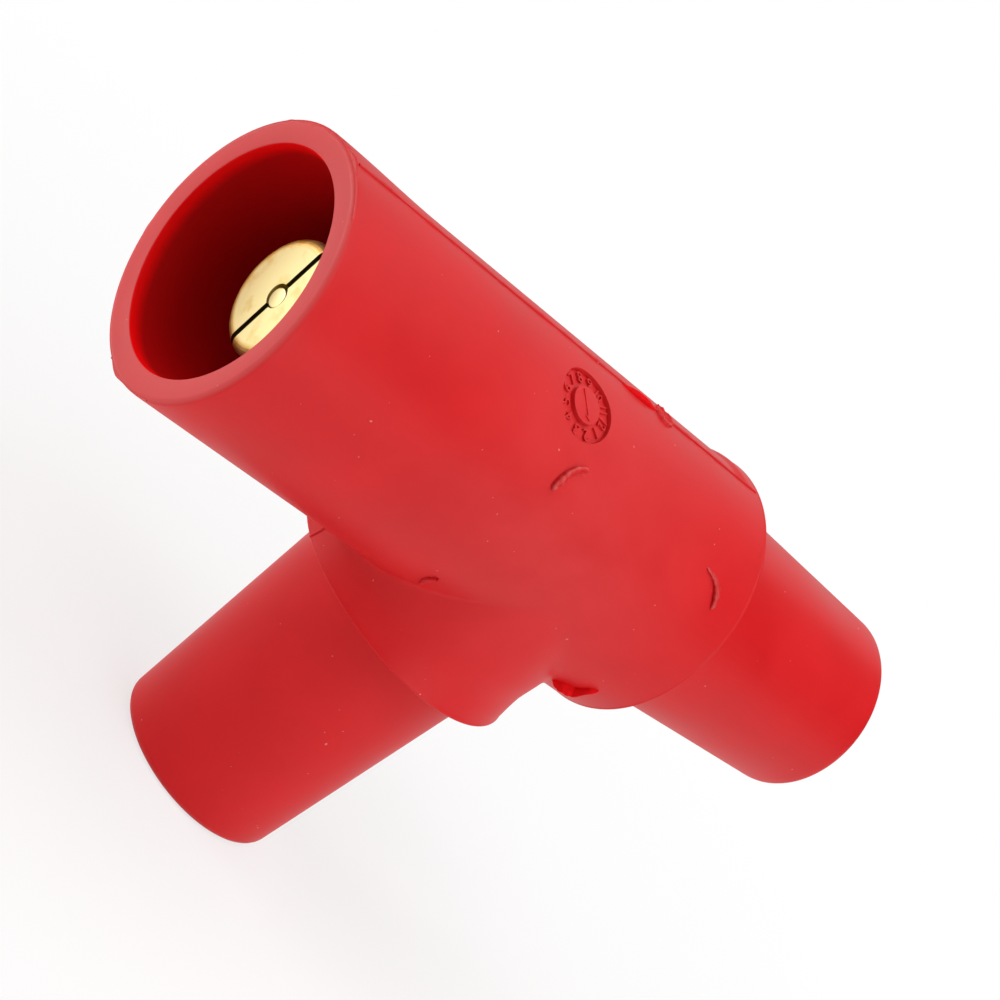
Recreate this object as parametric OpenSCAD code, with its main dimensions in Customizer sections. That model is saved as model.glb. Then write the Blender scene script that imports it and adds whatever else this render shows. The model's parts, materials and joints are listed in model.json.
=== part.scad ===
// Single pole cam lock tapping tee: one male leg, two female legs, in one moulded elastomer body.
// The tee stands on its branch leg. +Z runs up the branch, +X runs from the male mouth to the run
// leg, -Y is the front, and the origin is the centre of the branch leg's end face.
// All sizes are in millimetres.

/* [Body] */
// Distance from the crossing of the axes to the male mouth
mouth_reach = 64.5; // [60:0.5:72]
// Wall of the male sleeve at its mouth
sleeve_wall = 3.6; // [3:0.1:5]
// Distance from the crossing to the shoulder of the run leg
run_shoulder = 24.2; // [23:0.1:30]
// Distance from the crossing to the shoulder of the branch leg
branch_shoulder = 25.4; // [24:0.1:30]
// Rounding of the mouth's outer edge
rim_round = 0.7; // [0.2:0.1:1]
// Rounding of the mouth's inner edge
mouth_ease = 0.8; // [0.3:0.1:1.2]
// Rounding of the two shoulder rims
shoulder_round = 0.3; // [0.2:0.1:1]
// How much slimmer the branch hub is than the barrel, on its radius
hub_inset = 0.5; // [0.2:0.1:0.8]
// How far the branch hub flares out at its shoulder
branch_flare = 1; // [0.4:0.1:1.4]
// Length of the flare
flare_len = 11; // [6:0.5:14]
// Radius of the saddle in the corner between the run leg and the branch leg
saddle_round = 2.4; // [1.5:0.1:3.4]
// Radius of the elbow whose inside is the saddle
saddle_tube_r = 12; // [9:0.5:14]

/* [Nose] */
// Diameter of a nose at its shoulder
nose_base_d = 33; // [32:0.1:34]
// Diameter of a nose at its tip
nose_tip_d = 29; // [28:0.1:31]
// Length of a nose
nose_len = 40.3; // [38:0.1:43]
// Rounding of the nose tip
tip_round = 1.5; // [0.5:0.1:2]
// Radial gap between a nose and the sleeve that takes it
nose_gap = 0.4; // [0.3:0.05:0.8]
// Gap between a seated nose and the sleeve floor
seat_gap = 1; // [0.5:0.1:2]

/* [Male contact] */
// Diameter of the contact pin
pin_d = 17.8; // [16:0.1:18.5]
// Depth of the pin tip behind the mouth
pin_recess = 9.1; // [6:0.1:11]
// Rounding of the pin tip
pin_round = 1.5; // [0.4:0.1:2]
// Angle of the contact about its axis, from the plane of the tee
contact_turn = 5.5; // [-15:0.5:15]
// Width of the slot that splits the pin
slot_w = 0.9; // [0.6:0.1:1.4]
// Length of the slot
slot_len = 26; // [22:0.5:28]
// Clearance between a cam pin and the cam flat
flat_clear = 0.4; // [0.2:0.05:1]
// Axial rise of the cam groove over its half turn
cam_rise = 5; // [3:0.1:5.5]
// Diameter of the expander pin in the middle of the slot
expander_d = 3.2; // [2:0.1:4]
// Length of the expander pin
expander_len = 22; // [16:0.5:24]
// Radial clearance of the expander pin in its hole
expander_clear = 0.2; // [0.1:0.05:0.3]
// Depth of the expander pin's end under the pin tip
expander_sink = 0.2; // [0.1:0.1:1]

/* [Female contacts] */
// Wall of a socket
socket_wall = 2.1; // [1.6:0.1:2.5]
// Depth of the socket mouth behind the nose tip
socket_recess = 6; // [4:0.1:8]
// Radial clearance between a pin and a socket
pin_clear = 0.1; // [0.05:0.01:0.2]
// Radial clearance between a pin and the opening of the nose
opening_clear = 0.5; // [0.3:0.05:0.9]
// Gap between a seated pin and the end of the socket bore
bore_end_gap = 1; // [0.5:0.1:2]
// Depth of the socket bore's relief behind its front land
relief = 0.35; // [0.2:0.05:0.6]
// Diameter of a cam pin
cam_pin_d = 4.8; // [4:0.1:5.5]
// Depth of the cam pin's axis behind the nose tip
cam_depth = 20.5; // [19:0.1:22]
// Reach of the cam pin into the bore
cam_reach = 3.4; // [2:0.1:3.6]
// Clearance round a cam pin in the cam groove
groove_clear = 0.3; // [0.2:0.05:0.5]

/* [Junction] */
// Side of the square junction block
block_w = 26; // [25:0.1:27.5]
// Chamfer along the block's long edges
block_chamfer = 2; // [1:0.1:3]
// Diameter of the studs that screw into the block
stud_d = 10; // [8:0.1:11]
// Metal left between the tapped holes
hole_web = 0.5; // [0.3:0.1:1]
// Radial clearance of a stud in its tapped hole
stud_clear = 0.1; // [0.05:0.01:0.2]
// Diameter of the lock pins that cross the studs
lock_pin_d = 3; // [2:0.1:3.5]
// Radial clearance of a fitted pin in its hole
pin_fit = 0.02; // [0.01:0.01:0.05]
// Width of the ring groove that keys a contact into the body
key_w = 4; // [3:0.1:5]
// Depth of the ring groove
key_depth = 1.4; // [0.8:0.1:2]

/* [Moulding marks] */
// Width of the mould insert that forms the front of the hub
insert_w = 35.5; // [32:0.5:40]
// Height of the insert
insert_h = 27; // [24:0.5:30]
// Corner radius of the insert
insert_round = 4.3; // [3:0.1:6]
// Width of the witness ridges at the insert's corners
witness_w = 1.2; // [0.5:0.1:1.6]
// Height of the witness ridges
witness_h = 0.5; // [0.2:0.05:0.7]
// Diameter of the date dial
dial_d = 10.3; // [8:0.1:12]
// Diameter of the dial's centre
dial_hub_d = 5.3; // [4:0.1:6.5]
// Depth of the dial's ring
dial_depth = 0.5; // [0.3:0.05:0.8]
// Distance of the dial from the crossing, towards the mouth
dial_x = 17.2; // [14:0.1:24]
// Angle of the dial round the barrel, from the front to the top
dial_angle = 63.6; // [50:0.1:68]
// Width of the flash along the parting line
flash_w = 0.5; // [0.3:0.05:0.8]
// Height of the flash
flash_h = 0.2; // [0.15:0.05:0.5]
// Diameter of the gate mark on top of the hub
gate_d = 4.6; // [3:0.1:6]
// Height of the gate mark
gate_h = 0.45; // [0.3:0.05:0.8]

/* [Hidden] */
$fn = 96;
eps = 0.01;
arc_steps = 6;
fuse = 1;

// Turns that point a leg's own +Z from the crossing along its axis, with Y kept
male_turn = -90;
run_turn = 90;
branch_turn = 180;

run_reach = run_shoulder + nose_len;
branch_reach = branch_shoulder + nose_len;
crossing_z = branch_reach;

nose_base_r = nose_base_d / 2;
nose_tip_r = nose_tip_d / 2;
nose_taper = atan((nose_base_r - nose_tip_r) / nose_len);
mouth_r = nose_base_r + nose_gap;
floor_r = nose_tip_r + nose_gap;
body_r = mouth_r + sleeve_wall;
hub_r = body_r - hub_inset;
branch_rim_r = hub_r + branch_flare;
// The saddle stops short of both shoulders
saddle_land = 0.3;
saddle_room = min(run_shoulder - hub_r, branch_shoulder - body_r) - saddle_land;
saddle_r = min(saddle_round, saddle_room);
sleeve_depth = nose_len + seat_gap;
sleeve_floor = mouth_reach - sleeve_depth;

pin_r = pin_d / 2;
pin_len = sleeve_depth - pin_recess;
pin_tip = mouth_reach - pin_recess;
bore_r = pin_r + pin_clear;
bore_depth = nose_len - pin_recess + bore_end_gap;
opening_r = pin_r + opening_clear;
socket_r = bore_r + socket_wall;
// The front land of the bore stops a little short of the cam pin
land_margin = 1.1;
land_end = cam_depth - cam_pin_d / 2 - land_margin;

// Where a seated cam pin lies on the male contact, measured back from the pin tip
groove_end = nose_len - pin_recess - cam_depth;
groove_start = groove_end - cam_rise;
groove_w = cam_pin_d + 2 * groove_clear;
groove_r = bore_r - cam_reach - groove_clear;
flat_offset = bore_r - cam_reach - flat_clear;

block_half = block_w / 2;
stud_hole_r = stud_d / 2 + stud_clear;
stud_hole_end_gap = 0.4;
stud_len = block_half - stud_hole_r - hole_web - stud_hole_end_gap;
lock_at = block_half - stud_len / 2;

// The expander pin leans on the front of its hole
expander_lean = expander_clear - pin_fit;
gate_x = 1.2;
gate_wall = 0.8;

body_red = "#cf2a2e";
brass_gold = "#d9b65c";
pin_steel = "#9a9da1";

// Points along an arc, as [radius, height] pairs of a turned profile
function arc(centre, radius, from, to) = [
    for (i = [0 : arc_steps])
        let (a = from + (to - from) * i / arc_steps)
            centre + radius * [cos(a), sin(a)]
];

// Outline of a nose from its shoulder to its tip, with the tip rounded
function nose_outline(shoulder) = concat(
    [[nose_base_r, shoulder]],
    arc([nose_tip_r - tip_round, shoulder + nose_len - tip_round], tip_round, nose_taper, 90)
);

// Outline of a shoulder rim of a given radius
function rim_outline(radius, shoulder) =
    arc([radius - shoulder_round, shoulder - shoulder_round], shoulder_round, 0, 90);

// Outline of the branch hub as it flares to its rim, or the same moved out by a given amount
function flare_outline(out) = [
    for (i = [0 : arc_steps])
        let (t = i / arc_steps)
            [hub_r + out + branch_flare * t * t, branch_shoulder - flare_len + (flare_len - shoulder_round) * t]
];

// Puts a leg's own frame at the crossing
module on_leg(turn) {
    translate([0, 0, crossing_z]) rotate([0, turn, 0]) children();
}

// A pin that lies along Y from one height to another, in a leg's frame
module cross_pin(at, from_y, to_y, radius) {
    translate([0, from_y, at]) rotate([-90, 0, 0]) cylinder(h = to_y - from_y, r = radius);
}

// Body

// The run: male barrel, hub and run nose turned in one profile
module run_outside() {
    rotate_extrude() polygon(concat(
        [[0, -mouth_reach]],
        arc([body_r - rim_round, -mouth_reach + rim_round], rim_round, -90, 0),
        rim_outline(body_r, run_shoulder),
        nose_outline(run_shoulder),
        [[0, run_reach]]
    ));
}

// The branch: a hub that flares to its shoulder, then its nose
module branch_outside() {
    rotate_extrude() polygon(concat(
        [[0, 0], [hub_r, 0]],
        flare_outline(0),
        rim_outline(branch_rim_r, branch_shoulder),
        nose_outline(branch_shoulder),
        [[0, branch_reach]]
    ));
}

// Saddle in the corner between the two female legs: the inside of a slim elbow
module saddle_elbow() {
    sink = 0.05;
    end_turn = 1;
    translate([hub_r + saddle_r, 0, -body_r - saddle_r]) rotate([90, 0, 0]) rotate([0, 0, 90 + end_turn])
        rotate_extrude(angle = 90 - 2 * end_turn)
            translate([saddle_r + saddle_tube_r, 0]) circle(r = saddle_tube_r - sink);
}

// Ridges left on the front at the four rounded corners of a mould insert
module witness_ridges() {
    quarter = 90;
    intersection() {
        rotate([0, 90, 0]) cylinder(h = 2 * body_r, r = body_r + witness_h, center = true);
        rotate([90, 0, 0]) for (corner = [0 : 3])
            translate([
                (insert_w / 2 - insert_round) * (corner == 0 || corner == 3 ? 1 : -1),
                (insert_h / 2 - insert_round) * (corner < 2 ? 1 : -1),
                body_r / 4
            ])
                rotate([0, 0, quarter * corner]) rotate_extrude(angle = quarter)
                    translate([insert_round - witness_w / 2, 0]) square([witness_w, body_r]);
    }
}

// Thin flash in the plane of the axes, on the barrel and on the branch hub
module parting_flash() {
    flash_r = body_r + flash_h;
    intersection() {
        union() {
            rotate([0, run_turn, 0]) translate([0, 0, rim_round - mouth_reach])
                cylinder(h = mouth_reach + run_shoulder - rim_round - shoulder_round, r = flash_r);
            rotate([0, branch_turn, 0]) rotate_extrude() polygon(concat(
                [[0, 0], [hub_r + flash_h, 0]],
                flare_outline(flash_h),
                [[0, branch_shoulder - shoulder_round]]
            ));
        }
        cube([2 * mouth_reach, flash_w, 2 * (branch_shoulder + body_r)], center = true);
    }
}

// Mark of the trimmed gate on top of the hub
module gate_mark() {
    translate([gate_x, 0, body_r - fuse]) difference() {
        cylinder(h = fuse + gate_h, d = gate_d);
        translate([0, 0, fuse - gate_h / 2]) cylinder(h = 2 * gate_h, d = gate_d - 2 * gate_wall);
    }
}

// Ring of the date dial, sunk to an even depth in the barrel
module dial_ring() {
    difference() {
        translate([-dial_x, 0, 0]) rotate([90 - dial_angle, 0, 0]) difference() {
            cylinder(h = 2 * body_r, d = dial_d);
            translate([0, 0, -eps]) cylinder(h = 2 * body_r + 1, d = dial_hub_d);
        }
        rotate([0, 90, 0]) cylinder(h = 4 * body_r, r = body_r - dial_depth, center = true);
    }
}

// The tapered sleeve that takes a nose, with its mouth eased
module sleeve_cavity() {
    rotate_extrude() polygon(concat(
        [[0, sleeve_floor], [floor_r, sleeve_floor]],
        arc([mouth_r + mouth_ease, mouth_reach - mouth_ease], mouth_ease, 180, 90),
        [[mouth_r + mouth_ease, mouth_reach + fuse], [0, mouth_reach + fuse]]
    ));
}

// Room for a socket and the opening in front of it
module socket_cavity(reach) {
    socket_outside(reach);
    translate([0, 0, reach - socket_recess - eps]) cylinder(h = socket_recess + fuse, r = opening_r);
}

module insulating_body() {
    color(body_red) difference() {
        translate([0, 0, crossing_z]) {
            rotate([0, run_turn, 0]) run_outside();
            rotate([0, branch_turn, 0]) branch_outside();
            saddle_elbow();
            witness_ridges();
            parting_flash();
            gate_mark();
        }
        on_leg(male_turn) sleeve_cavity();
        on_leg(male_turn) collar_outside();
        on_leg(run_turn) socket_cavity(run_reach);
        on_leg(branch_turn) socket_cavity(branch_reach);
        translate([0, 0, crossing_z]) block_outside();
        translate([0, 0, crossing_z]) dial_ring();
    }
}

// Junction

module block_outside() {
    inner = block_half - block_chamfer;
    rotate([0, 90, 0]) linear_extrude(height = block_w, center = true) polygon([
        [block_half, -inner], [block_half, inner], [inner, block_half], [-inner, block_half],
        [-block_half, inner], [-block_half, -inner], [-inner, -block_half], [inner, -block_half]
    ]);
}

module junction_block() {
    color(brass_gold) difference() {
        translate([0, 0, crossing_z]) block_outside();
        for (turn = [male_turn, run_turn, branch_turn]) on_leg(turn) {
            translate([0, 0, block_half - stud_len - stud_hole_end_gap])
                cylinder(h = stud_len + stud_hole_end_gap + fuse, r = stud_hole_r);
            cross_pin(lock_at, -block_w, block_w, lock_pin_d / 2 + pin_fit);
        }
    }
}

module lock_pin(turn) {
    color(pin_steel) on_leg(turn) cross_pin(lock_at, -block_half, block_half, lock_pin_d / 2);
}

// A contact's stud, drilled for its lock pin
module stud() {
    difference() {
        translate([0, 0, block_half - stud_len]) cylinder(h = stud_len + fuse, d = stud_d);
        cross_pin(lock_at, -block_w, block_w, lock_pin_d / 2 + pin_fit);
    }
}

// Turned shank with one ring groove, from the block face to a given height
module keyed_shank(top, key_at) {
    rotate_extrude() polygon([
        [0, block_half], [socket_r, block_half],
        [socket_r, key_at - key_w / 2], [socket_r - key_depth, key_at - key_w / 2],
        [socket_r - key_depth, key_at + key_w / 2], [socket_r, key_at + key_w / 2],
        [socket_r, top], [0, top]
    ]);
}

// Male contact

module collar_outside() {
    keyed_shank(sleeve_floor, (block_half + sleeve_floor) / 2);
}

// The pin with its rounded tip
module pin_blank() {
    rotate_extrude() polygon(concat(
        [[0, sleeve_floor - fuse], [pin_r, sleeve_floor - fuse]],
        arc([pin_r - pin_round, pin_tip - pin_round], pin_round, 0, 90),
        [[0, pin_tip]]
    ));
}

// Half a turn of groove, cut by a tilted ring, that leads a cam pin from the flat to its seat
module cam_groove() {
    tilt = atan(cam_rise / (pin_r + groove_r));
    middle = pin_tip - (groove_start + groove_end) / 2;
    difference() {
        translate([0, 0, middle]) rotate([-tilt, 0, 0]) difference() {
            cylinder(h = groove_w, r = 2 * pin_r, center = true);
            cylinder(h = 2 * groove_w, r = groove_r, center = true);
        }
        translate([0, -2 * pin_r, pin_tip - 2 * pin_len]) cube([4 * pin_r, 4 * pin_r, 2 * pin_len]);
    }
    cross_pin(pin_tip - groove_end, groove_r, 2 * pin_r, groove_w / 2);
}

module cam_flat() {
    flat_len = groove_start + groove_w / 2;
    translate([-2 * pin_r, -flat_offset - 2 * pin_r, pin_tip - flat_len])
        cube([4 * pin_r, 2 * pin_r, flat_len + fuse]);
}

module split_slot() {
    translate([-2 * pin_r, -slot_w / 2, pin_tip - slot_len])
        cube([4 * pin_r, slot_w, slot_len + fuse]);
}

module male_contact() {
    color(brass_gold) on_leg(male_turn) {
        difference() {
            union() {
                pin_blank();
                collar_outside();
            }
            rotate([0, 0, contact_turn]) {
                cam_groove();
                cam_flat();
                split_slot();
            }
            translate([0, 0, pin_tip - expander_len - expander_sink])
                cylinder(h = pin_len, r = expander_d / 2 + expander_clear);
        }
        stud();
    }
}

module expander_pin() {
    end_round = expander_d / 6;
    color(brass_gold) on_leg(male_turn) rotate([0, 0, contact_turn])
        translate([0, -expander_lean, pin_tip - expander_sink - expander_len])
            rotate_extrude() polygon(concat(
                [[0, 0], [expander_d / 2, 0]],
                arc([expander_d / 2 - end_round, expander_len - end_round], end_round, 0, 90),
                [[0, expander_len]]
            ));
}

// Female contacts

module socket_outside(reach) {
    nose_root = reach - nose_len;
    keyed_shank(reach - socket_recess, nose_root);
}

module socket(turn, reach) {
    color(brass_gold) on_leg(turn) {
        difference() {
            socket_outside(reach);
            translate([0, 0, reach - bore_depth])
                cylinder(h = bore_depth - land_end + eps, r = bore_r + relief);
            translate([0, 0, reach - land_end]) cylinder(h = land_end, r = bore_r);
            cross_pin(reach - cam_depth, -2 * socket_r, 0, cam_pin_d / 2 + pin_fit);
        }
        stud();
    }
}

// The cam pin's outer end stays just under the socket's round outside
module cam_pin(turn, reach) {
    outer_y = sqrt(pow(socket_r, 2) - pow(cam_pin_d / 2, 2));
    color(pin_steel) on_leg(turn)
        cross_pin(reach - cam_depth, -outer_y, cam_reach - bore_r, cam_pin_d / 2);
}

module run_socket() {
    socket(run_turn, run_reach);
}

module branch_socket() {
    socket(branch_turn, branch_reach);
}

module run_cam_pin() {
    cam_pin(run_turn, run_reach);
}

module branch_cam_pin() {
    cam_pin(branch_turn, branch_reach);
}

module male_lock_pin() {
    lock_pin(male_turn);
}

module run_lock_pin() {
    lock_pin(run_turn);
}

module branch_lock_pin() {
    lock_pin(branch_turn);
}

insulating_body();
male_contact();
expander_pin();
junction_block();
run_socket();
branch_socket();
run_cam_pin();
branch_cam_pin();
male_lock_pin();
run_lock_pin();
branch_lock_pin();
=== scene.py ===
import json
import math
import bpy
import numpy as np
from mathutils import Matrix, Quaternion, Vector, noise


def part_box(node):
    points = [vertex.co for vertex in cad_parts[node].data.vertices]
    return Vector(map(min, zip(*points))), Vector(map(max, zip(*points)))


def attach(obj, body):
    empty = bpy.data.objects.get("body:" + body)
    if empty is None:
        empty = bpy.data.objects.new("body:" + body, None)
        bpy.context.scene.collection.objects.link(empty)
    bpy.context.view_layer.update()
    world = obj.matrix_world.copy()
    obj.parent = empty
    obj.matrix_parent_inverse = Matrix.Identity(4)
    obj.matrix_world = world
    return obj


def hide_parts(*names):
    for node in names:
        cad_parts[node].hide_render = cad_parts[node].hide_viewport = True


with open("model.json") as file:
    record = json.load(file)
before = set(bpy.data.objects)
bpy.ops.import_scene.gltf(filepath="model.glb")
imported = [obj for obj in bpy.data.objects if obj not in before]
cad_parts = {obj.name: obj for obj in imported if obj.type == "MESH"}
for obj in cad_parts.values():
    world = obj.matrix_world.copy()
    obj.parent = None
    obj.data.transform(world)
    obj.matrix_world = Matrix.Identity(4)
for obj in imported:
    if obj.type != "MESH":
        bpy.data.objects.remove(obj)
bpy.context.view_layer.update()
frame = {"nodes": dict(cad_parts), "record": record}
scene = bpy.context.scene
mm = 0.001
mounts = {mount["name"]: mount for mount in frame["record"]["mounts"]}
crossing = Vector((0, 0, mounts["run_socket"]["pos_m"][2]))  # where the two axes of the tee meet
print("frame loaded, nodes:", len(frame["nodes"]))


# Camera at the photo's angle: the picture is rolled, the tee itself stands upright
view = {
    "stand": (-272.4, -295.4, 193.1),  # mm
    "aim": (-4.66, 0.27, 61.60),
    "roll": 52.82,  # degrees
    "lens": 110.485,
    "sensor": 36,
    "nearest": 10,  # mm, nothing nearer is drawn
}
bpy.ops.object.select_all(action="DESELECT")
stand = Vector(view["stand"]) * mm
aim = Vector(view["aim"]) * mm
bpy.ops.object.camera_add(location=stand)
camera = bpy.context.object
camera.name = "camera"
camera.rotation_mode = "QUATERNION"
level = (aim - stand).to_track_quat("-Z", "Y")
camera.rotation_quaternion = level @ Quaternion((0, 0, 1), math.radians(view["roll"]))
camera.data.lens = view["lens"]
camera.data.sensor_width = view["sensor"]
camera.data.clip_start = view["nearest"] * mm
scene.camera = camera
scene.view_settings.view_transform = "Standard"
print("camera set")


# Small helpers that pick, shape and join pieces
def startFresh():
    if bpy.context.object and bpy.context.object.mode != "OBJECT":
        bpy.ops.object.mode_set(mode="OBJECT")
    bpy.ops.object.select_all(action="DESELECT")


def pickOnly(piece):
    startFresh()
    piece.select_set(True)
    bpy.context.view_layer.objects.active = piece


def readPoints(piece):  # vertex places in mm, measured from the crossing
    places = np.empty(len(piece.data.vertices) * 3)
    piece.data.vertices.foreach_get("co", places)
    return (places.reshape(-1, 3) - np.array(crossing)) / mm


def writePoints(piece, places):
    piece.data.vertices.foreach_set("co", (places * mm + np.array(crossing)).ravel())
    piece.data.update()


def closeUp(piece, gap=0.002):  # merges doubles and turns faces outwards
    pickOnly(piece)
    bpy.ops.object.mode_set(mode="EDIT")
    bpy.ops.mesh.select_all(action="SELECT")
    bpy.ops.mesh.remove_doubles(threshold=gap * mm)
    bpy.ops.mesh.normals_make_consistent(inside=False)
    bpy.ops.object.mode_set(mode="OBJECT")


def arcPoints(centre, radius, start, end, parts=6):
    turns = [math.radians(start + (end - start) * i / parts) for i in range(parts + 1)]
    return [(centre[0] + radius * math.cos(t), centre[1] + radius * math.sin(t)) for t in turns]


def divided(points, longest):  # more points where a straight stretch is longer than this
    full = [points[0]]
    for here, there in zip(points, points[1:]):
        parts = max(1, math.ceil(math.dist(here, there) / longest - 0.001))
        for i in range(1, parts + 1):
            along = here[0] + (there[0] - here[0]) * i / parts
            out = here[1] + (there[1] - here[1]) * i / parts
            full.append((along, out))
    return full


def turnOutline(name, outline, steps):  # outline of (along, out) in mm, spun round the X axis of the crossing
    startFresh()
    bpy.ops.mesh.primitive_plane_add(size=mm, location=crossing)
    piece = bpy.context.object
    piece.name = piece.data.name = name
    bpy.ops.object.transform_apply(location=True, rotation=False, scale=False)
    bpy.ops.object.mode_set(mode="EDIT")
    bpy.ops.mesh.merge(type="CENTER")
    spots = [Vector((along * mm, 0, out * mm)) for along, out in outline]
    bpy.ops.transform.translate(value=spots[0])
    for here, there in zip(spots, spots[1:]):
        bpy.ops.mesh.extrude_region_move(TRANSFORM_OT_translate={"value": there - here})
    bpy.ops.mesh.select_all(action="SELECT")
    bpy.ops.mesh.spin(steps=steps, angle=math.tau, center=crossing, axis=(1, 0, 0))
    closeUp(piece)
    return piece


def layAlong(piece, turn):  # swings a turned piece from +X to another leg, round the crossing
    pickOnly(piece)
    bpy.ops.object.mode_set(mode="EDIT")
    bpy.ops.mesh.select_all(action="SELECT")
    bpy.ops.transform.rotate(value=-math.radians(turn), orient_axis="Y", center_override=crossing)
    bpy.ops.object.mode_set(mode="OBJECT")


def combine(piece, other, way):  # boolean, applied, and the other piece is used up
    pickOnly(piece)
    step = piece.modifiers.new(way.lower(), "BOOLEAN")
    step.operation = way
    step.object = other
    step.solver = "MANIFOLD"
    bpy.ops.object.modifier_apply(modifier=step.name)
    bpy.data.objects.remove(other)


# The moulded tee
body = {
    "barrel": 20.5,  # radius of the run, mm
    "hubWaist": 19.92,  # least radius of the branch hub
    "waistAt": 20.2,  # from the crossing
    "hubRoot": 0.2,  # how far it opens towards the run
    "rootLong": 4.5,
    "hubFlare": 0.6,  # and at its shoulder
    "flareBend": 1.3,
    "hubShort": 0.7,  # the plain hub ends this far before its shoulder
    "hubRings": 44,
    "mouth": 64.5,  # from the crossing
    "sleeveDeep": 41.3,
    "mouthInner": 16.85,
    "floorInner": 14.9,
    "easeWide": 0.29,  # lead-in of the sleeve
    "easeDeep": 1.33,
    "rimDip": 0.2,  # the rim's face falls in a little
    "rimRound": 0.8,
    "runShoulder": 24.2,
    "branchShoulder": 25.4,
    "shoulderRound": 0.3,
    "lipWide": 0.3,  # thin moulded lip on both shoulder rims
    "lipHigh": 0.07,
    "lipRun": 1.6,  # its slope starts this many widths back
    "noseBase": 16.5,
    "noseTip": 14.5,
    "noseLong": 40.3,
    "rootRound": 0.3,
    "tipRound": 1.5,
    "steps": 256,
    "coarse": 1.5,  # longest stretch between rings
    "fine": 0.6,  # and where the hub joins
    "fineFrom": -26,
    "fineTo": 23.5,
    "creaseMale": 0.9,  # how soft the two barrels run together, on the sleeve's side
    "creaseNose": 1.9,  # and in the corner between the two noses
    "creaseLeast": 0.35,  # and at the front, where they nearly touch
    "creaseBend": 0.75,
    "sideFrom": -6,  # x where the crease starts to widen towards the nose
    "sideLong": 14,
    "slides": 6,  # rounds that bring the seam's points onto the blend
}


def noseOutline(rim, shoulder):  # from a shoulder rim of this radius down to the nose and its tip
    fall = body["noseBase"] - body["noseTip"]
    taper = math.degrees(math.atan(fall / body["noseLong"]))
    tip = shoulder + body["noseLong"]
    high = rim + body["lipHigh"]
    lip = [(shoulder - body["lipRun"] * body["lipWide"], rim), (shoulder - body["lipWide"], high)]
    ease = body["shoulderRound"]
    edge = arcPoints((shoulder - ease, high - ease), ease, 90, 0)
    ease = body["rootRound"]
    root = arcPoints((shoulder + ease, body["noseBase"] + ease), ease, 180, 270)
    ease = body["tipRound"]
    end = arcPoints((tip - ease, body["noseTip"] - ease), ease, 90 - taper, 0)
    return lip + edge + root + divided([root[-1], end[0]], body["coarse"])[1:] + end[1:] + [(tip, 0)]


def hubRadius(down):  # radius of the branch hub at a distance from the crossing
    flareLong = body["branchShoulder"] - body["shoulderRound"] - body["waistAt"]
    flare = np.clip((down - body["waistAt"]) / flareLong, 0, 1) ** body["flareBend"]
    root = np.clip((body["waistAt"] - down) / body["rootLong"], 0, 1)
    return body["hubWaist"] + body["hubFlare"] * flare + body["hubRoot"] * root * root * (3 - 2 * root)


mouthX = -body["mouth"]
floorX = body["sleeveDeep"] - body["mouth"]
sleeve = [(floorX, 0), (floorX, body["floorInner"])]
easeX = mouthX + body["rimDip"] + body["easeDeep"]
easeOut = body["mouthInner"] + body["easeWide"]
for along, out in arcPoints((0, 0), 1, 270, 180, 8):
    sleeve.append((easeX + along * body["easeDeep"], easeOut + out * body["easeWide"]))
rimCentre = (mouthX + body["rimRound"], body["barrel"] - body["rimRound"])
rim = arcPoints(rimCentre, body["rimRound"], 180, 90, 8)
fineStart = (body["fineFrom"], body["barrel"])
fineEnd = (body["fineTo"], body["barrel"])
barrel = divided([rim[-1], fineStart], body["coarse"]) + divided([fineStart, fineEnd], body["fine"])
sleeveSkin = divided(sleeve, body["coarse"])
runLine = sleeveSkin + rim + barrel[1:] + noseOutline(body["barrel"], body["runShoulder"])
tee = turnOutline("moulded_tee", runLine, body["steps"])

hubEnd = body["branchShoulder"] - body["hubShort"]
hub = [(down, float(hubRadius(down))) for down in np.linspace(0, hubEnd, body["hubRings"])]
hubRim = float(hubRadius(body["branchShoulder"]))
branchLine = [(0, 0)] + hub + noseOutline(hubRim, body["branchShoulder"])
branch = turnOutline("branch_leg", branchLine, body["steps"])
layAlong(branch, 90)
combine(tee, branch, "UNION")
print("tee joined, faces:", len(tee.data.polygons))


def teeField(p):  # distance outside the blended run and hub, and its slope; p in mm from the crossing
    x, y, z = p[:, 0], p[:, 1], p[:, 2]
    runOut = np.maximum(np.hypot(y, z), 1e-6)
    hubOut = np.maximum(np.hypot(x, y), 1e-6)
    toRun = runOut - body["barrel"]
    toHub = hubOut - hubRadius(-z)
    runSlope = np.stack([0 * x, y / runOut, z / runOut], 1)
    hubSlope = np.stack([x / hubOut, y / hubOut, 0 * x], 1)
    turned = (runSlope * hubSlope).sum(1)  # near 1 at the front, where the two run together
    apart = np.clip(1 - turned, 0, 1) ** body["creaseBend"]
    side = np.clip((x - body["sideFrom"]) / body["sideLong"], 0, 1)
    side = side * side * (3 - 2 * side)
    soft = (body["creaseMale"] + (body["creaseNose"] - body["creaseMale"]) * side) * apart
    soft = np.maximum(soft, body["creaseLeast"])
    both = np.clip(1 - np.abs(toRun - toHub) / soft, 0, 1)
    field = np.minimum(toRun, toHub) - both * both * soft / 4
    share = np.where(toRun < toHub, 1 - both / 2, both / 2)[:, None]
    return field, share * runSlope + (1 - share) * hubSlope, soft, np.maximum(np.abs(toRun), np.abs(toHub))


places = readPoints(tee)
_, _, soft, away = teeField(places)
near = (away < soft) & (places[:, 2] < 0) & (places[:, 2] > -hubEnd)
near &= np.abs(places[:, 0]) < body["runShoulder"]
for _ in range(body["slides"]):  # slides the points near the seam onto the blended skin
    field, slope, _, _ = teeField(places[near])
    places[near] -= slope * (field / np.maximum((slope ** 2).sum(1), 0.2))[:, None]
print("seam blended, points moved:", int(near.sum()))

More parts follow.
